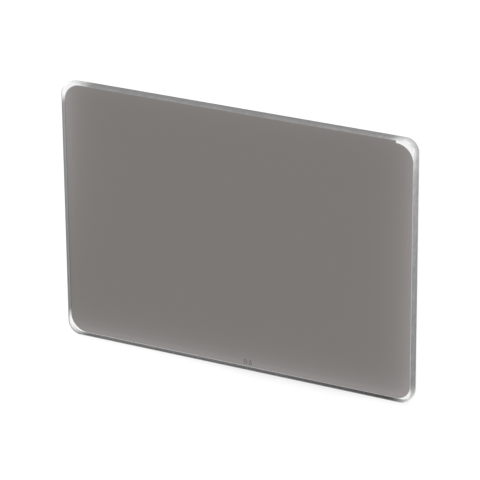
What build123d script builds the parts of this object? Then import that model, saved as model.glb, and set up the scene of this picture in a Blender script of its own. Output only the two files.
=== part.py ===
from build123d import *

import os

# Outline of the plate: 5.65 by 4 inches, the standard cinema filter tray
plate_length = 143.51
plate_width = 101.6

# Thickness of the optical glass
plate_thickness = 4.0

# Radius of the four rounded corners, seen square on
corner_radius = 5.0

# Width of the 45 degree arris ground along both rims, measured on the face and on the edge
arris = 0.5


def plate_blank():
    """Cut glass sheet with rounded corners, its back face on the plane Z = 0."""
    with BuildPart() as blank:
        with BuildSketch(Plane.XY):
            RectangleRounded(plate_length, plate_width, corner_radius)
        extrude(amount=plate_thickness)
    return blank.part


def rim_edges(blank):
    """The lines and corner arcs that bound the back face and the front face."""
    faces = blank.faces().sort_by(Axis.Z)
    return faces[0].edges() + faces[-1].edges()


def ground_plate():
    """The plate with its sharp rims ground off, which leaves a flat band between two arrises."""
    blank = plate_blank()
    return chamfer(rim_edges(blank), arris)


def main():
    os.makedirs("parts", exist_ok=True)
    plate = ground_plate()
    plate.label = "filter_plate"
    export_step(plate, "parts/filter_plate.step")


main()
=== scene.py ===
"""Looks of a glass neutral density filter plate that lies on a white studio floor.

The plate lies on its back face, its marked front face upwards. X runs along the longer side, Y across it,
away from the marked border, and Z through the glass. All lengths are metres.
"""

import logging
from dataclasses import dataclass, field
from enum import Enum

import bpy
import numpy as np
from mathutils import Matrix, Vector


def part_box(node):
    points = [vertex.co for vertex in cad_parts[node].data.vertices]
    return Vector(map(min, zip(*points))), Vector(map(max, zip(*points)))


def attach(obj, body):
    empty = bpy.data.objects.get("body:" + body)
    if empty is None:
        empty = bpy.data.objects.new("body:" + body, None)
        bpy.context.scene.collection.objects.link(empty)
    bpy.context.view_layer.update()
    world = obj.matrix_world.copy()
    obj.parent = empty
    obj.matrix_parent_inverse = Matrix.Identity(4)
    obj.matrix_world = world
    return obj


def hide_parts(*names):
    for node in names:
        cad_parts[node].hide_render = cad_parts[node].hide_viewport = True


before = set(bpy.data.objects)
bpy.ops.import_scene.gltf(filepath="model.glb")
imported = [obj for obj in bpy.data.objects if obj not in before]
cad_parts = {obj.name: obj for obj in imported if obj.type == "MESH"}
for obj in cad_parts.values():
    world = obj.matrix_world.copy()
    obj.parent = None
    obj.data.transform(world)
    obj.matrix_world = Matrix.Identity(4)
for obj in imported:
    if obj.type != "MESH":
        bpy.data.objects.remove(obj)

log = logging.getLogger("filter")
MM = 0.001
Triple = tuple[float, float, float]
Pair = tuple[float, float]
Ends = tuple[object, object]
Socket = bpy.types.NodeSocket
BODY = "root"
PLATE_NODE = "filter_plate"
GLASS_IOR = 1.52
BLACK = (0.0, 0.0, 0.0)
WHITE = (1.0, 1.0, 1.0, 1.0)


class Skin(Enum):
    """The finishes on the plate, in the order of its material slots."""

    FACE = 0
    RIM = 1


class Sheet:
    """A short way to write the nodes of a shader or of a group."""

    def __init__(self, tree: bpy.types.NodeTree) -> None:
        """Starts with an empty tree."""
        self.tree = tree
        tree.nodes.clear()

    def add(self, kind: str, **settings: object) -> bpy.types.Node:
        """Adds one node.

        Args:
            kind: Blender's name of the node type.
            settings: properties of the node to set.

        Returns:
            The node.
        """
        node = self.tree.nodes.new(kind)
        for name, value in settings.items():
            setattr(node, name, value)
        return node

    def put(self, socket: Socket, value: object) -> None:
        """Gives an input a plain value, or links an output to it.

        Args:
            socket: the input.
            value: the plain value or the output.
        """
        if isinstance(value, bpy.types.NodeSocket):
            self.tree.links.new(value, socket)
        else:
            socket.default_value = value

    def place(self) -> Socket:
        """Adds the point in the object's own coordinates."""
        return self.add("ShaderNodeTexCoord").outputs["Object"]

    def axes(self, vector: Socket) -> tuple[Socket, Socket, Socket]:
        """Splits a vector.

        Args:
            vector: the vector's output.

        Returns:
            Its X, Y and Z.
        """
        split = self.add("ShaderNodeSeparateXYZ")
        self.put(split.inputs[0], vector)
        return tuple(split.outputs)

    def math(self, operation: str, *values: object, clamp: bool = False) -> Socket:
        """Adds one operation on numbers.

        Args:
            operation: Blender's name of the operation.
            values: the numbers or outputs that go in.
            clamp: holds the result between 0 and 1.

        Returns:
            The result's output.
        """
        node = self.add("ShaderNodeMath", operation=operation, use_clamp=clamp)
        for socket, value in zip(node.inputs, values):
            self.put(socket, value)
        return node.outputs[0]

    def vector(self, operation: str, *values: object) -> Socket:
        """Adds one operation on vectors.

        Args:
            operation: Blender's name of the operation.
            values: the vectors or outputs that go in.

        Returns:
            The result's output, a number for a length and a vector for the rest.
        """
        node = self.add("ShaderNodeVectorMath", operation=operation)
        for socket, value in zip(node.inputs, values):
            self.put(socket, value)
        return node.outputs["Value" if operation == "LENGTH" else "Vector"]

    def run(self, value: object, given: Ends, result: Ends, smooth: bool = False) -> Socket:
        """Adds a value carried from one range to another and held beyond its ends.

        Args:
            value: the number that drives it.
            given: the two ends of its range.
            result: the results at those two ends.
            smooth: eases the run in and out.

        Returns:
            The result's output.
        """
        easing = "SMOOTHSTEP" if smooth else "LINEAR"
        node = self.add("ShaderNodeMapRange", interpolation_type=easing)
        names = ("Value", "From Min", "From Max", "To Min", "To Max")
        for name, number in zip(names, (value, *given, *result)):
            self.put(node.inputs[name], number)
        return node.outputs["Result"]

    def choose(self, share: object, first: object, second: object) -> Socket:
        """Adds a number that goes from the first to the second as the share goes from 0 to 1."""
        return self.run(share, (0.0, 1.0), (first, second))

    def blend(self, share: object, first: object, second: object) -> Socket:
        """Adds a mix of two colours.

        Args:
            share: how much of the second colour, from 0 to 1.
            first: the first colour, as numbers or an output.
            second: the second colour.

        Returns:
            The mixed colour's output.
        """
        node = self.add("ShaderNodeMix", data_type="RGBA")
        for name, value in (("Factor_Float", share), ("A_Color", first), ("B_Color", second)):
            socket = next(s for s in node.inputs if s.identifier == name)
            self.put(socket, (*value, 1.0) if isinstance(value, tuple) else value)
        return next(s for s in node.outputs if s.identifier == "Result_Color")

    def noise(self, place: Socket, scale: float) -> Socket:
        """Adds a soft noise.

        Args:
            place: the point that it is read at.
            scale: the number of its swells in a metre.

        Returns:
            The noise, from 0 to 1.
        """
        node = self.add("ShaderNodeTexNoise")
        self.put(node.inputs["Vector"], place)
        self.put(node.inputs["Scale"], scale)
        return node.outputs[0]

    def grey(self, value: object) -> Socket:
        """Adds a neutral colour.

        Args:
            value: how light it is.

        Returns:
            The colour's output.
        """
        node = self.add("ShaderNodeCombineColor")
        for socket in node.inputs:
            self.put(socket, value)
        return node.outputs[0]

    def surface(self, colour: Socket, roughness: object, **more: object) -> None:
        """Ends a material with one Principled shader.

        Args:
            colour: its base colour.
            roughness: its roughness.
            more: further inputs of the shader by name, with an underscore for each space.
        """
        shader = self.add("ShaderNodeBsdfPrincipled")
        self.put(shader.inputs["Base Color"], colour)
        self.put(shader.inputs["Roughness"], roughness)
        for name, value in more.items():
            self.put(shader.inputs[name.replace("_", " ")], value)
        self.put(self.add("ShaderNodeOutputMaterial").inputs["Surface"], shader.outputs[0])


def new_material(name: str) -> tuple[bpy.types.Material, Sheet]:
    """Makes an empty material.

    Args:
        name: its name.

    Returns:
        The material and the sheet for its nodes.
    """
    material = bpy.data.materials.new(name)
    material.use_nodes = True
    return material, Sheet(material.node_tree)


@dataclass(frozen=True)
class CoatField:
    """Where one face is coated: a rounded rectangle inside a clear rim.

    Attributes:
        low: its lower left end.
        high: its upper right end.
        corner: the radius of its corners.
        tight_corner: the radius of the corner at +X -Y.
        deep_corner: how much lower the arc at +X +Y lies, which leaves that corner clear deeper in.
        softness: the width over which the coating ends.
    """

    low: Pair
    high: Pair
    corner: float
    tight_corner: float
    deep_corner: float
    softness: float

    def moved(self, by: Pair) -> "CoatField":
        """Returns the same field moved across the face."""
        low, high = (tuple(a + b for a, b in zip(end, by)) for end in (self.low, self.high))
        return CoatField(low, high, self.corner, self.tight_corner, self.deep_corner, self.softness)

    def depth(self, sheet: Sheet, place: Socket) -> Socket:
        """Adds the distance from the field's border, positive inside it.

        With p the point from the field's middle in absolute X and Y, h its half sizes, r its corner radius
        and q = p - h + r, the distance is r - length(max(q, 0)) - min(max(q.x, q.y), 0).

        Args:
            sheet: the material's nodes.
            place: the point in the plate's coordinates.

        Returns:
            The distance in metres.
        """
        middle = (*((a + b) / 2 for a, b in zip(self.low, self.high)), 0.0)
        half = (*((b - a) / 2 for a, b in zip(self.low, self.high)), 0.0)
        point = sheet.vector("SUBTRACT", place, middle)
        x, y, _ = sheet.axes(point)
        on_right, below = sheet.math("GREATER_THAN", x, 0.0), sheet.math("LESS_THAN", y, 0.0)
        on_tight = sheet.math("MULTIPLY", on_right, below)
        radius = sheet.choose(on_tight, self.corner, self.tight_corner)
        over = sheet.vector("SUBTRACT", sheet.vector("ABSOLUTE", point), half)
        beyond = sheet.vector("MULTIPLY", sheet.vector("ADD", over, radius), (1.0, 1.0, 0.0))
        outside = sheet.vector("LENGTH", sheet.vector("MAXIMUM", beyond, (0.0, 0.0, 0.0)))
        x, y, _ = sheet.axes(beyond)
        within = sheet.math("MINIMUM", sheet.math("MAXIMUM", x, y), 0.0)
        return sheet.math("SUBTRACT", radius, sheet.math("ADD", outside, within))

    def deep_arc(self, sheet: Sheet, place: Socket) -> Socket:
        """Adds the distance inside the deeper arc of the corner at +X +Y, a metre more away from it.

        Args:
            sheet: the material's nodes.
            place: the point in the plate's coordinates.

        Returns:
            The distance in metres.
        """
        centre = (self.high[0] - self.corner, self.high[1] - self.corner - self.deep_corner, 0.0)
        beyond = sheet.vector("MULTIPLY", sheet.vector("SUBTRACT", place, centre), (1.0, 1.0, 0.0))
        x, y, _ = sheet.axes(beyond)
        away = sheet.math("LESS_THAN", sheet.math("MINIMUM", x, y), 0.0)
        inside = sheet.math("SUBTRACT", self.corner, sheet.vector("LENGTH", beyond))
        return sheet.math("ADD", inside, away)

    def cover(self, sheet: Sheet, place: Socket) -> Socket:
        """Adds how much of the coating there is, 1 on the field and 0 on the clear rim."""
        inside = sheet.math("MINIMUM", self.depth(sheet, place), self.deep_arc(sheet, place))
        return sheet.run(inside, (-self.softness / 2, self.softness / 2), (0.0, 1.0), smooth=True)


@dataclass(frozen=True)
class CoatedFace:
    """Polished optical glass with half of a neutral grey density coated on each face, inside a clear rim.

    It is polished flat, so it has no bump, and its roughness is only the faint haze that wiping leaves.

    Attributes:
        low: the plate's lower left end.
        high: the plate's upper right end.
        middle_height: the height that tells the front face from the back face.
        front_inset_low: how far the front field stays inside the lower left end.
        front_inset_high: how far the front field stays inside the upper right end.
        back_move: how the back field is moved against the front one.
        corner: the radius of the fields' corners.
        tight_corner: the radius of the corner at +X -Y.
        deep_corner: how much lower the arc at +X +Y lies.
        softness: the width over which the coating ends.
        clear: the tone of the clear rim.
        grey: the tone of the coating in the middle.
        border_grey: the paler tone that the grey turns to towards the borders.
        left_paling: how far it turns at the left border, at the start and end of the run there.
        left_run: where that run starts and ends, as shares of the plate's lower and upper ends.
        right_paling: how far it turns at the right border.
        top_paling: how far it turns at the upper border.
        bottom_paling: how far it turns at the lower border.
        side_reach: how deep the turn goes in from the left and the right.
        top_reach: how deep it goes in from the upper border.
        bottom_reach: how deep it goes in from the lower border.
        haze_scale: the haze's swells in a metre.
        haze_span: the part of the noise over which the haze rises.
        haze: the roughness without and with it.
    """

    low: Pair
    high: Pair
    middle_height: float
    front_inset_low: Pair = (1.56 * MM, 1.76 * MM)
    front_inset_high: Pair = (0.52 * MM, 0.45 * MM)
    back_move: Pair = (-1.245 * MM, -1.11 * MM)
    corner: float = 6.8 * MM
    tight_corner: float = 5.6 * MM
    deep_corner: float = 0.95 * MM
    softness: float = 0.1 * MM
    clear: Triple = (0.94, 0.94, 0.94)
    grey: Triple = (0.194, 0.178, 0.169)
    border_grey: Triple = (0.309, 0.287, 0.283)
    left_paling: Pair = (0.10, 1.27)
    left_run: Pair = (0.6, 1.12)
    right_paling: float = 1.05
    top_paling: float = 0.25
    bottom_paling: float = 1.29
    side_reach: float = 5.0 * MM
    top_reach: float = 3.5 * MM
    bottom_reach: float = 3.8 * MM
    haze_scale: float = 90.0
    haze_span: Pair = (0.4, 0.7)
    haze: Pair = (0.0, 0.05)

    def border_paling(self, sheet: Sheet, place: Socket) -> Socket:
        """Adds how far the grey has turned to the paler one.

        It is a sum over the four borders of a share times exp(-distance / reach). The share at the left
        border grows towards the unmarked border.

        Args:
            sheet: the material's nodes.
            place: the point in the plate's coordinates.

        Returns:
            The share of the paler grey.
        """
        x, y, _ = sheet.axes(place)
        span = (self.left_run[0] * self.low[1], self.left_run[1] * self.high[1])
        left = sheet.run(y, span, self.left_paling, smooth=True)
        borders = (
            (left, sheet.math("SUBTRACT", x, self.low[0]), self.side_reach),
            (self.right_paling, sheet.math("SUBTRACT", self.high[0], x), self.side_reach),
            (self.top_paling, sheet.math("SUBTRACT", self.high[1], y), self.top_reach),
            (self.bottom_paling, sheet.math("SUBTRACT", y, self.low[1]), self.bottom_reach),
        )
        total = 0.0
        for share, distance, reach in borders:
            fall = sheet.math("EXPONENT", sheet.math("DIVIDE", distance, -reach))
            total = sheet.math("ADD", total, sheet.math("MULTIPLY", fall, share))
        return total

    def build(self) -> bpy.types.Material:
        """Makes the material.

        Returns:
            The material for the two flat faces.
        """
        material, sheet = new_material("coated_faces")
        place = sheet.place()
        low = tuple(a + b for a, b in zip(self.low, self.front_inset_low))
        high = tuple(a - b for a, b in zip(self.high, self.front_inset_high))
        front = CoatField(low, high, self.corner, self.tight_corner, self.deep_corner, self.softness)
        back = front.moved(self.back_move)
        on_front = sheet.math("GREATER_THAN", sheet.axes(place)[2], self.middle_height)
        cover = sheet.choose(on_front, back.cover(sheet, place), front.cover(sheet, place))
        # The grey turns paler towards the borders, most along the lower and right ones and high up the left
        # one.
        tone = sheet.blend(self.border_paling(sheet, place), self.grey, self.border_grey)
        colour = sheet.blend(cover, self.clear, tone)
        swells = sheet.noise(place, self.haze_scale)
        haze = sheet.run(swells, self.haze_span, self.haze, smooth=True)
        sheet.surface(colour, haze, IOR=GLASS_IOR, Transmission_Weight=1.0)
        return material


@dataclass(frozen=True)
class GrindGrain:
    """The fine pits and the faint blotches of ground glass, shared by the rim and the mark.

    Attributes:
        pit_scale: the pits in a metre.
        blotch_scale: the blotches in a metre.
        noise_span: the part of each noise that is used.
        shade: the blotches' darkest and lightest shade.
        roughness_swing: how far the roughness swings to each side.
        pit_depth: the depth of the pits.
        pit_strength: how strongly they turn the light.
    """

    pit_scale: float = 6000.0
    blotch_scale: float = 450.0
    noise_span: Pair = (0.3, 0.7)
    shade: Pair = (0.84, 1.12)
    roughness_swing: float = 0.05
    pit_depth: float = 0.004 * MM
    pit_strength: float = 0.35

    def group(self) -> bpy.types.NodeTree:
        """Makes the node group, or returns it if it is there.

        Returns:
            The group. A middle roughness goes in, and a shade, a roughness and a normal come out.
        """
        tree = bpy.data.node_groups.get("grind_grain")
        if tree is not None:
            return tree
        tree = bpy.data.node_groups.new("grind_grain", "ShaderNodeTree")
        tree.interface.new_socket("Roughness", in_out="INPUT", socket_type="NodeSocketFloat")
        tree.interface.new_socket("Shade", in_out="OUTPUT", socket_type="NodeSocketFloat")
        tree.interface.new_socket("Roughness", in_out="OUTPUT", socket_type="NodeSocketFloat")
        tree.interface.new_socket("Normal", in_out="OUTPUT", socket_type="NodeSocketVector")
        sheet = Sheet(tree)
        given = sheet.add("NodeGroupInput").outputs["Roughness"]
        result = sheet.add("NodeGroupOutput").inputs
        place = sheet.place()
        pits = sheet.noise(place, self.pit_scale)
        blotches = sheet.noise(place, self.blotch_scale)
        bump = sheet.add("ShaderNodeBump")
        sheet.put(bump.inputs["Strength"], self.pit_strength)
        sheet.put(bump.inputs["Distance"], self.pit_depth)
        sheet.put(bump.inputs["Height"], pits)
        swing = sheet.run(pits, self.noise_span, (-self.roughness_swing, self.roughness_swing))
        sheet.put(result["Shade"], sheet.run(blotches, self.noise_span, self.shade))
        sheet.put(result["Roughness"], sheet.math("ADD", given, swing, clamp=True))
        sheet.put(result["Normal"], bump.outputs[0])
        return tree

    def lay(self, sheet: Sheet, roughness: float) -> tuple[Socket, Socket, Socket]:
        """Adds the group to a material.

        Args:
            sheet: the material's nodes.
            roughness: the finish's middle roughness.

        Returns:
            The shade, the roughness and the normal.
        """
        node = sheet.add("ShaderNodeGroup", node_tree=self.group())
        node.inputs["Roughness"].default_value = roughness
        return tuple(node.outputs[name] for name in ("Shade", "Roughness", "Normal"))


@dataclass(frozen=True)
class RimSpot:
    """Where on the rim a point lies, as outputs of nodes.

    Attributes:
        on_right: 1 on the right half.
        on_top: 1 on the upper half.
        on_arris: 1 on the arrises and 0 on the band.
        way_x: the way along the level borders, from 0 to 1.
        way_y: the way along the upright borders, from 0 to 1.
        height: the height on the band, from 0 to 1.
        away: the way from the middle of a corner, in metres, positive towards the level border.
        turn: 0 on the upright borders and 1 on the level ones.
    """

    on_right: Socket
    on_top: Socket
    on_arris: Socket
    way_x: Socket
    way_y: Socket
    height: Socket
    away: Socket
    turn: Socket


@dataclass(frozen=True)
class BorderShare:
    """A share, from 0 to 1, that changes as a power of the way along one border.

    Attributes:
        first: the share at the start of the border.
        last: the share at its end.
        power: the power of the way.
        back: what multiplies it at the back of the band, running to 1 at its front.
        arris: what multiplies it on the arrises.
    """

    first: float
    last: float
    power: float = 1.0
    back: float = 1.0
    arris: float = 1.0

    def lay(self, sheet: Sheet, spot: RimSpot, way: Socket) -> Socket:
        """Adds the border's share.

        Args:
            sheet: the material's nodes.
            spot: the place on the rim.
            way: the share of the way along the border.

        Returns:
            The share.
        """
        share = sheet.choose(sheet.math("POWER", way, self.power), self.first, self.last)
        share = sheet.math("MULTIPLY", share, sheet.choose(spot.height, self.back, 1.0))
        return sheet.math("MULTIPLY", share, sheet.choose(spot.on_arris, 1.0, self.arris))


@dataclass(frozen=True)
class CornerShare:
    """A share for one corner, which gives way to its borders' along the outline.

    Attributes:
        back: the share at the back of the band.
        front: the share at its front.
        upright_span: where it starts and ends giving way, towards the upright border.
        level_span: the same towards the level border.
    """

    back: float
    front: float
    upright_span: Pair
    level_span: Pair

    def lay(self, sheet: Sheet, spot: RimSpot, border: Socket) -> Socket:
        """Adds the corner's share, run into that of its borders.

        Args:
            sheet: the material's nodes.
            spot: the place on the rim.
            border: the share of the border there.

        Returns:
            The share.
        """
        level = sheet.run(spot.away, self.level_span, (1.0, 0.0), smooth=True)
        other_way = sheet.math("MULTIPLY", spot.away, -1.0)
        upright = sheet.run(other_way, self.upright_span, (1.0, 0.0), smooth=True)
        share = sheet.choose(spot.height, self.back, self.front)
        return sheet.choose(sheet.math("MINIMUM", level, upright), border, share)


@dataclass(frozen=True)
class RimShares:
    """A share that changes round the rim, from border to border and over the corners."""

    lower: BorderShare
    upper: BorderShare
    left: BorderShare
    right: BorderShare
    lower_left: CornerShare
    lower_right: CornerShare
    upper_left: CornerShare
    upper_right: CornerShare

    def lay(self, sheet: Sheet, spot: RimSpot) -> Socket:
        """Adds the share.

        Args:
            sheet: the material's nodes.
            spot: the place on the rim.

        Returns:
            The share.
        """
        lower, upper = (border.lay(sheet, spot, spot.way_x) for border in (self.lower, self.upper))
        left, right = (border.lay(sheet, spot, spot.way_y) for border in (self.left, self.right))
        upright = sheet.choose(spot.on_right, left, right)
        level = sheet.choose(spot.on_top, lower, upper)
        border = sheet.choose(spot.turn, upright, level)
        lower_left, lower_right, upper_left, upper_right = (
            corner.lay(sheet, spot, border)
            for corner in (self.lower_left, self.lower_right, self.upper_left, self.upper_right))
        below = sheet.choose(spot.on_right, lower_left, lower_right)
        above = sheet.choose(spot.on_right, upper_left, upper_right)
        return sheet.choose(spot.on_top, below, above)


@dataclass(frozen=True)
class GroundRim:
    """Finely ground glass, which scatters light from outside and lets some straight through from within.

    Attributes:
        low: the plate's lower left end.
        high: the plate's upper right end.
        middle_height: the height of the plate's middle.
        band_half: half the width of the flat band.
        corner_radius: the radius of the plate's corners.
        painted_light_and_shade: how light it is from outside, painted light and shade that is darkest along
            the upper border and palest at the upper left and lower right corners.
        clearness: how much light from within goes straight through.
        grey_within: how light the rest is from within.
        roughness: its middle roughness.
    """

    low: Pair
    high: Pair
    middle_height: float
    band_half: float
    corner_radius: float
    # Painted light and shade: the tones of the borders and corners stand in for how the light falls on them.
    painted_light_and_shade: RimShares = RimShares(
        lower=BorderShare(0.34, 0.34, arris=0.8),
        upper=BorderShare(0.157, 0.235, 8.0, back=0.8, arris=1.3),
        left=BorderShare(0.34, 0.34, arris=0.36),
        right=BorderShare(0.262, 0.47, 2.2, back=0.92, arris=0.93),
        lower_left=CornerShare(0.5, 0.4, (0.5 * MM, 6.0 * MM), (0.5 * MM, 6.0 * MM)),
        lower_right=CornerShare(0.9, 0.9, (1.0 * MM, 8.0 * MM), (1.0 * MM, 8.0 * MM)),
        upper_left=CornerShare(0.9, 0.9, (0.5 * MM, 6.0 * MM), (2.0 * MM, 14.5 * MM)),
        upper_right=CornerShare(0.47, 0.74, (4.0 * MM, 15.0 * MM), (3.5 * MM, 11.0 * MM)),
    )
    clearness: RimShares = RimShares(
        lower=BorderShare(0.075, 0.01, 2.2, arris=2.2),
        upper=BorderShare(0.25, 0.25),
        left=BorderShare(0.155, 0.23, 2.0, back=1.3, arris=1.25),
        right=BorderShare(0.25, 0.25),
        lower_left=CornerShare(1.0, 0.28, (5.0 * MM, 10.0 * MM), (-3.5 * MM, 8.5 * MM)),
        lower_right=CornerShare(0.85, 0.85, (0.0, 5.0 * MM), (-3.0 * MM, 10.0 * MM)),
        upper_left=CornerShare(1.0, 1.0, (5.0 * MM, 9.5 * MM), (2.0 * MM, 6.0 * MM)),
        upper_right=CornerShare(0.9, 0.6, (2.0 * MM, 8.0 * MM), (2.0 * MM, 8.0 * MM)),
    )
    grey_within: float = 0.02
    roughness: float = 0.4

    def spot(self, sheet: Sheet) -> RimSpot:
        """Adds what tells where on the rim a point lies.

        With b the point's absolute X and Y less those of the arcs' centres, b.y - b.x is 0 at the middle of
        a corner, grows towards the level border and falls towards the upright one.

        Args:
            sheet: the material's nodes.

        Returns:
            The place on the rim.
        """
        x, y, z = sheet.axes(sheet.place())
        above_middle = sheet.math("SUBTRACT", z, self.middle_height)
        way_x, way_y = (
            sheet.run(value, (self.low[axis], self.high[axis]), (0.0, 1.0))
            for axis, value in enumerate((x, y)))
        beyond_x, beyond_y = (
            sheet.math("SUBTRACT", sheet.math("ABSOLUTE", value), self.high[axis] - self.corner_radius)
            for axis, value in enumerate((x, y)))
        away = sheet.math("SUBTRACT", beyond_y, beyond_x)
        from_middle = sheet.math("ABSOLUTE", above_middle)
        return RimSpot(
            on_right=sheet.math("GREATER_THAN", x, 0.0),
            on_top=sheet.math("GREATER_THAN", y, 0.0),
            on_arris=sheet.math("GREATER_THAN", from_middle, self.band_half),
            way_x=way_x,
            way_y=way_y,
            height=sheet.run(above_middle, (-self.band_half, self.band_half), (0.0, 1.0)),
            away=away,
            turn=sheet.run(away, (-self.corner_radius, self.corner_radius), (0.0, 1.0), smooth=True),
        )

    def build(self) -> bpy.types.Material:
        """Makes the material.

        Returns:
            The material for the ground band and the arrises.
        """
        material, sheet = new_material("ground_rim")
        within = sheet.add("ShaderNodeNewGeometry").outputs["Backfacing"]
        shade, roughness, normal = GrindGrain().lay(sheet, self.roughness)
        spot = self.spot(sheet)
        # From outside the tone is painted light and shade; from within it is a plain grey.
        tone = sheet.choose(within, self.painted_light_and_shade.lay(sheet, spot), self.grey_within)
        passed = sheet.math("MULTIPLY", self.clearness.lay(sheet, spot), within)
        colour = sheet.grey(sheet.math("MULTIPLY", tone, shade, clamp=True))
        alpha = sheet.choose(passed, 1.0, 0.0)
        sheet.surface(colour, roughness, IOR=GLASS_IOR, Alpha=alpha, Normal=normal)
        return material


@dataclass(frozen=True)
class Engraving:
    """A matt grey mark, a little deeper in tone than the glass round it.

    Attributes:
        dark: its tone in the darkest blotches.
        pale: its tone in the lightest ones.
        roughness: its middle roughness.
    """

    dark: Triple = (0.105, 0.097, 0.092)
    pale: Triple = (0.145, 0.135, 0.130)
    roughness: float = 0.6

    def build(self) -> bpy.types.Material:
        """Makes the material.

        Returns:
            The material for the mark.
        """
        material, sheet = new_material("engraved_mark")
        grain = GrindGrain()
        shade, roughness, normal = grain.lay(sheet, self.roughness)
        tone = sheet.blend(sheet.run(shade, grain.shade, (0.0, 1.0)), self.dark, self.pale)
        sheet.surface(tone, roughness, IOR=GLASS_IOR, Normal=normal)
        return material


@dataclass
class FilterPlate:
    """The glass plate: two flat faces, a ground band and two arrises, with rounded corners.

    Attributes:
        corner_radius: the radius of the outline's corners.
        arris: the width of the arrises, measured on the face and on the edge.
        edge_round: the radius of the small rounding at each edge of the arrises.
        arc_steps: the steps along each corner of the outline.
        side_steps: the steps along the straight part of the level borders.
        row_steps: the steps across the plate.
        round_steps: the steps of each small rounding.
        low: the plate's lowest corner, from the frame.
        high: its highest corner.
    """

    corner_radius: float = 5.0 * MM
    arris: float = 0.5 * MM
    edge_round: float = 0.05 * MM
    arc_steps: int = 40
    side_steps: int = 30
    row_steps: int = 36
    round_steps: int = 3
    low: np.ndarray = field(init=False)
    high: np.ndarray = field(init=False)

    def __post_init__(self) -> None:
        """Takes the plate's corners from the frame."""
        low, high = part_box(PLATE_NODE)
        self.low, self.high = np.array(low), np.array(high)

    def face(self, inset: float, z: float) -> np.ndarray:
        """Points of a flat face drawn in from the outline by an inset.

        Each column runs straight from the lower to the upper outline at one x. With c the corner radius less
        the inset and a the angle along a corner, the columns at the ends are at x = core x + c cos a and
        reach y = core y + c sin a, where the core is the middle of that corner's arc. Row v of n is at
        (2v / n - 1) times that reach.

        Args:
            inset: how far inside the full outline.
            z: the height of the points.

        Returns:
            An array of columns by rows by three.
        """
        half = (self.high - self.low)[:2] / 2
        middle = (self.high + self.low)[:2] / 2
        core = half - self.corner_radius
        angle = np.linspace(0.0, np.pi / 2, self.arc_steps + 1)
        reach = self.corner_radius - inset
        end_x, end_y = core[0] + reach * np.cos(angle), core[1] + reach * np.sin(angle)
        inner = np.linspace(-core[0], core[0], self.side_steps + 1)[1:-1]
        x = np.concatenate([-end_x, inner, end_x[::-1]])
        y = np.concatenate([end_y, np.full(len(inner), end_y[-1]), end_y[::-1]])
        y = y[:, None] * np.linspace(-1.0, 1.0, self.row_steps + 1)
        x = np.broadcast_to(x[:, None], y.shape)
        return np.stack([x + middle[0], y + middle[1], np.full(y.shape, z)], axis=-1)

    @staticmethod
    def border(grid: np.ndarray) -> np.ndarray:
        """The grid's outer entries in order, counter-clockwise from above, from the lower left."""
        return np.concatenate([grid[:-1, 0], grid[-1, :-1], grid[:0:-1, -1], grid[0, :0:-1]])

    def section(self) -> np.ndarray:
        """The rim's section as insets and heights, from the front face down to the back face.

        It heads outwards on the front face and turns by 45 degrees at each of its four corners, so that it
        comes down one arris, the band and the other arris and ends inwards on the back face. With r the
        small radius and h the heading, a corner is the arc m + r (-sin h, cos h). It starts r tan(22.5
        degrees) before the sharp corner, and its middle m lies r deeper in the glass than that start.

        Returns:
            An array of points by two.
        """
        top, bottom = self.high[2], self.low[2]
        corners = (
            (self.arris, top), (0.0, top - self.arris), (0.0, bottom + self.arris), (self.arris, bottom))
        headings = np.linspace(0.0, np.pi, len(corners) + 1)
        points = []
        for corner, before, after in zip(corners, headings[:-1], headings[1:]):
            reach = self.edge_round * np.tan((after - before) / 2)
            turn = np.linspace(before, after, self.round_steps + 1)
            start = np.array(corner) + reach * np.array([np.cos(before), np.sin(before)])
            middle = start + self.edge_round * np.array([np.sin(before), -np.cos(before)])
            points.append(middle + self.edge_round * np.stack([-np.sin(turn), np.cos(turn)], axis=1))
        return np.concatenate(points)

    @staticmethod
    def cells(grid: np.ndarray) -> np.ndarray:
        """The four corners of each cell of a grid of point numbers."""
        corners = [grid[:-1, :-1], grid[1:, :-1], grid[1:, 1:], grid[:-1, 1:]]
        return np.stack(corners, axis=-1).reshape(-1, 4)

    def mesh(self) -> bpy.types.Mesh:
        """Joins the two faces and the rim into one closed mesh.

        The rim is the section carried round the outline: ring k is the outline drawn in by the section's
        k-th inset, at its k-th height. Its first and last rings are the borders of the two faces.

        Returns:
            The mesh, with the finish of each face in its material index.
        """
        section = self.section()
        front_points, back_points = self.face(*section[0]), self.face(*section[-1])
        front = np.arange(front_points[..., 0].size).reshape(front_points.shape[:2])
        back = front + front.size
        inner = [self.border(self.face(*pair)) for pair in section[1:-1]]
        size = len(inner[0])
        rings = [self.border(front)]
        rings += [2 * front.size + k * size + np.arange(size) for k in range(len(inner))]
        rings.append(self.border(back))
        rim = [
            np.stack([above, below, np.roll(below, -1), np.roll(above, -1)], axis=-1)
            for above, below in zip(rings[:-1], rings[1:])]
        faces = np.concatenate([self.cells(front), self.cells(back)[:, ::-1], *rim])
        skins = np.full(len(faces), Skin.FACE.value)
        skins[-size * len(rim):] = Skin.RIM.value
        points = np.concatenate([front_points.reshape(-1, 3), back_points.reshape(-1, 3), *inner])
        mesh = bpy.data.meshes.new("glass_plate")
        mesh.from_pydata(points.tolist(), [], faces.tolist())
        mesh.polygons.foreach_set("material_index", skins.astype(np.int32))
        self.shade(mesh, np.stack(rings))
        return mesh

    @staticmethod
    def shade(mesh: bpy.types.Mesh, rings: np.ndarray) -> None:
        """Shades the mesh smooth, and sharp along the rings of the rim.

        Args:
            mesh: the plate's mesh.
            rings: the point numbers of each ring.
        """
        ring_of = np.full(len(mesh.vertices), -1)
        ring_of[rings] = np.arange(len(rings))[:, None]
        ends = np.zeros(len(mesh.edges) * 2, np.int32)
        mesh.edges.foreach_get("vertices", ends)
        first, second = ring_of[ends.reshape(-1, 2)].T
        sharp = mesh.attributes.new("sharp_edge", "BOOLEAN", "EDGE")
        sharp.data.foreach_set("value", (first == second) & (first >= 0))
        mesh.polygons.foreach_set("use_smooth", np.ones(len(mesh.polygons), bool))
        mesh.update()

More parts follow.
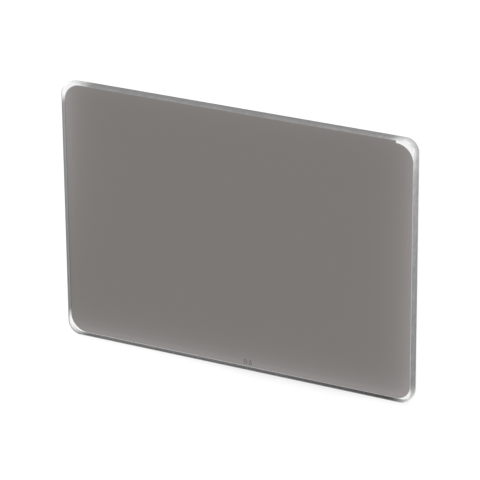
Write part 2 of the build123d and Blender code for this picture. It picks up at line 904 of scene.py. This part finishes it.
    def build(self) -> bpy.types.Object:
        """Makes the plate and dresses it.

        Returns:
            The finished piece, in place of the frame's node.
        """
        mesh = self.mesh()
        low, high = tuple(self.low[:2].tolist()), tuple(self.high[:2].tolist())
        middle = float(self.low[2] + self.high[2]) / 2
        band_half = float(self.high[2] - self.low[2]) / 2 - self.arris
        finishes = {
            Skin.FACE: CoatedFace(low, high, middle),
            Skin.RIM: GroundRim(low, high, middle, band_half, self.corner_radius),
        }
        for skin in Skin:
            mesh.materials.append(finishes[skin].build())
        plate = bpy.data.objects.new("glass_plate", mesh)
        bpy.context.scene.collection.objects.link(plate)
        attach(plate, BODY)
        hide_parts(PLATE_NODE)
        return plate


@dataclass
class DensityMark:
    """A plain density number on the front face, near the lower border.

    Attributes:
        text: the number.
        height: the height of its figures.
        place: its lower left end on the face.
        depth: how far it stands above the face, and how far it goes below.
    """

    text: str = "0.6"
    height: float = 2.1 * MM
    place: Pair = (3.5 * MM, -48.2 * MM)
    depth: float = 0.01 * MM

    def build(self, top: float) -> bpy.types.Object:
        """Makes the mark as a thin closed mesh, half of it above the face.

        Args:
            top: the height of the plate's front face.

        Returns:
            The finished piece.
        """
        curve = bpy.data.curves.new("density_text", "FONT")
        curve.body = self.text
        curve.size = 1.0
        holder = bpy.data.objects.new("density_text", curve)
        bpy.context.scene.collection.objects.link(holder)
        flat = bpy.data.meshes.new_from_object(holder)
        bpy.data.objects.remove(holder)
        points = np.zeros(len(flat.vertices) * 3)
        flat.vertices.foreach_get("co", points)
        points = points.reshape(-1, 3)
        points *= self.height / np.ptp(points[:, 1])
        points += (*self.place, top + self.depth)
        flat.vertices.foreach_set("co", points.ravel())
        flat.update()
        flat.materials.clear()
        flat.materials.append(Engraving().build())
        mark = bpy.data.objects.new("density_mark", flat)
        bpy.context.scene.collection.objects.link(mark)
        wall = mark.modifiers.new("wall", "SOLIDIFY")
        wall.thickness, wall.offset = 2 * self.depth, -1.0
        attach(mark, BODY)
        return mark


@dataclass
class Studio:
    """White floor, soft light and the camera.

    Attributes:
        azimuth: how far the camera is turned to the right of square above, in degrees.
        elevation: how far it is turned towards the unmarked border, in degrees.
        roll: how far it is turned about its line of sight, in degrees.
        distance: its distance from the point that it looks at.
        lens: its focal length in millimetres.
        sensor: the width of its sensor in millimetres.
        clip: the nearest and the farthest that it sees.
        aim: the point of the front face that it looks at.
        floor_gap: how far the floor lies under the plate.
        floor_size: the side of the floor.
        floor_tone: how light the floor is where light falls on it.
        glow: the floor's own light as the camera sees it.
        shadow_patch_glow: the same in a patch beyond the marked border, a painted shadow that deepens the
            plate's shadow there.
        shadow_patch_middle: the middle of that patch along the marked border.
        shadow_patch_x: how far from there to each side the patch starts and ends fading out.
        shadow_patch_y: where beyond the marked border it starts and is in full.
        dome: the strength of the room's light.
        dome_lean: how much that grows towards each axis.
        key_power: the lamp's power in watts.
        key_size: its width.
        key_place: where it hangs.
    """

    azimuth: float = 27.739
    elevation: float = 22.602
    roll: float = 0.477
    distance: float = 1.128027
    lens: float = 232.373
    sensor: float = 36.0
    clip: Pair = (0.05, 20.0)
    aim: Pair = (2.467 * MM, 1.100 * MM)
    floor_gap: float = 0.02 * MM
    floor_size: float = 6.0
    floor_tone: float = 0.4
    glow: float = 0.72
    shadow_patch_glow: float = 0.64
    shadow_patch_middle: float = 22.0 * MM
    shadow_patch_x: Pair = (10.0 * MM, 58.0 * MM)
    shadow_patch_y: Pair = (-30.0 * MM, -52.0 * MM)
    dome: float = 0.75
    dome_lean: Triple = (0.35, 0.45, 0.0)
    key_power: float = 6.0
    key_size: float = 0.7
    key_place: Triple = (0.1, 0.85, 0.85)

    def camera(self, top: float) -> bpy.types.Object:
        """Sets the camera, which starts square above the plate and is turned, raised and rolled.

        With a the azimuth and e the elevation, the direction back to it is (sin a cos e, sin e, cos a cos e).

        Args:
            top: the height of the plate's front face.

        Returns:
            The camera.
        """
        azimuth, elevation, roll = np.radians([self.azimuth, self.elevation, self.roll])
        across = np.cos(elevation)
        back = np.array([np.sin(azimuth) * across, np.sin(elevation), np.cos(azimuth) * across])
        right = np.cross((0.0, 1.0, 0.0), back)
        right /= np.linalg.norm(right)
        up = np.cross(back, right)
        turned_right = np.cos(roll) * right - np.sin(roll) * up
        turned_up = np.sin(roll) * right + np.cos(roll) * up
        place = np.array([*self.aim, top]) + self.distance * back
        pose = np.eye(4)
        pose[:3] = np.stack([turned_right, turned_up, back, place], axis=1)
        data = bpy.data.cameras.new("camera")
        data.lens, data.sensor_width = self.lens, self.sensor
        data.clip_start, data.clip_end = self.clip
        camera = bpy.data.objects.new("camera", data)
        camera.matrix_world = Matrix(pose.tolist())
        bpy.context.scene.collection.objects.link(camera)
        bpy.context.scene.camera = camera
        return camera

    def floor_finish(self) -> bpy.types.Material:
        """Makes the floor's material, a matt white that glows.

        Through the glass it shows as plain white, without shadow. Its glow is a little dimmer in a patch
        beyond the middle of the marked border, a painted shadow that deepens the plate's own shadow there.

        Returns:
            The material.
        """
        material, sheet = new_material("floor")
        path = sheet.add("ShaderNodeLightPath").outputs
        through = path["Is Transmission Ray"]
        seen = sheet.math("MAXIMUM", path["Is Camera Ray"], path["Is Glossy Ray"])
        colour = sheet.blend(through, (self.floor_tone,) * 3, BLACK)
        x, y, _ = sheet.axes(sheet.place())
        # Painted shadow: beyond the marked border the floor glows less in a patch, which deepens the plate's
        # shadow.
        from_patch_middle = sheet.math("ABSOLUTE", sheet.math("SUBTRACT", x, self.shadow_patch_middle))
        along = sheet.run(from_patch_middle, self.shadow_patch_x, (1.0, 0.0), smooth=True)
        beyond = sheet.run(y, self.shadow_patch_y, (0.0, 1.0), smooth=True)
        shadow_patch = sheet.math("MULTIPLY", along, beyond)
        glow = sheet.math("MULTIPLY", seen, sheet.choose(shadow_patch, self.glow, self.shadow_patch_glow))
        strength = sheet.math("MAXIMUM", glow, through)
        sheet.surface(
            colour, 1.0, Specular_IOR_Level=0.0, Emission_Color=WHITE, Emission_Strength=strength)
        return material

    def floor(self) -> bpy.types.Object:
        """Lays the white floor just under the plate.

        Returns:
            The floor.
        """
        half, z = self.floor_size / 2, -self.floor_gap
        mesh = bpy.data.meshes.new("floor")
        corners = [(-half, -half, z), (half, -half, z), (half, half, z), (-half, half, z)]
        mesh.from_pydata(corners, [], [(0, 1, 2, 3)])
        mesh.materials.append(self.floor_finish())
        floor = bpy.data.objects.new("floor", mesh)
        bpy.context.scene.collection.objects.link(floor)
        return floor

    def world(self) -> bpy.types.World:
        """Lights the room from all round, stronger towards the unmarked border and the right.

        In the direction d the strength is the dome's times 1 + lean . d, and the camera sees plain white.

        Returns:
            The world.
        """
        world = bpy.data.worlds.new("studio")
        bpy.context.scene.world = world
        world.use_nodes = True
        sheet = Sheet(world.node_tree)
        camera_ray = sheet.add("ShaderNodeLightPath").outputs["Is Camera Ray"]
        direction = sheet.add("ShaderNodeTexCoord").outputs["Generated"]
        x, y, z = sheet.axes(sheet.vector("MULTIPLY", direction, self.dome_lean))
        lean = sheet.math("ADD", 1.0, sheet.math("ADD", x, sheet.math("ADD", y, z)))
        background = sheet.add("ShaderNodeBackground")
        sheet.put(background.inputs["Color"], WHITE)
        strength = sheet.choose(camera_ray, sheet.math("MULTIPLY", lean, self.dome), 1.0)
        sheet.put(background.inputs["Strength"], strength)
        sheet.put(sheet.add("ShaderNodeOutputWorld").inputs["Surface"], background.outputs[0])
        return world

    def key(self) -> bpy.types.Object:
        """Hangs a large soft lamp beyond the unmarked border, so the shadow falls at the marked one.

        Returns:
            The lamp.
        """
        data = bpy.data.lights.new("key", "AREA")
        data.shape, data.size, data.energy = "DISK", self.key_size, self.key_power
        back = np.array(self.key_place) / np.linalg.norm(self.key_place)
        right = np.cross((0.0, 0.0, 1.0), back)
        right /= np.linalg.norm(right)
        pose = np.eye(4)
        pose[:3] = np.stack([right, np.cross(back, right), back, self.key_place], axis=1)
        lamp = bpy.data.objects.new("key", data)
        lamp.matrix_world = Matrix(pose.tolist())
        bpy.context.scene.collection.objects.link(lamp)
        return lamp

    def build(self, top: float) -> None:
        """Makes the whole studio.

        Args:
            top: the height of the plate's front face.
        """
        self.floor()
        self.world()
        self.key()
        self.camera(top)
        bpy.context.scene.view_settings.view_transform = "Standard"


def main() -> None:
    """Builds the plate and the studio and reports each piece."""
    logging.basicConfig(level=logging.INFO, format="%(name)s: %(message)s")
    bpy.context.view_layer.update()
    plate = FilterPlate()
    top = float(plate.high[2])
    pieces = [plate.build(), DensityMark().build(top)]
    for piece in pieces:
        log.info("%s: %d faces", piece.name, len(piece.data.polygons))
    Studio().build(top)


if __name__ == "__main__":
    main()
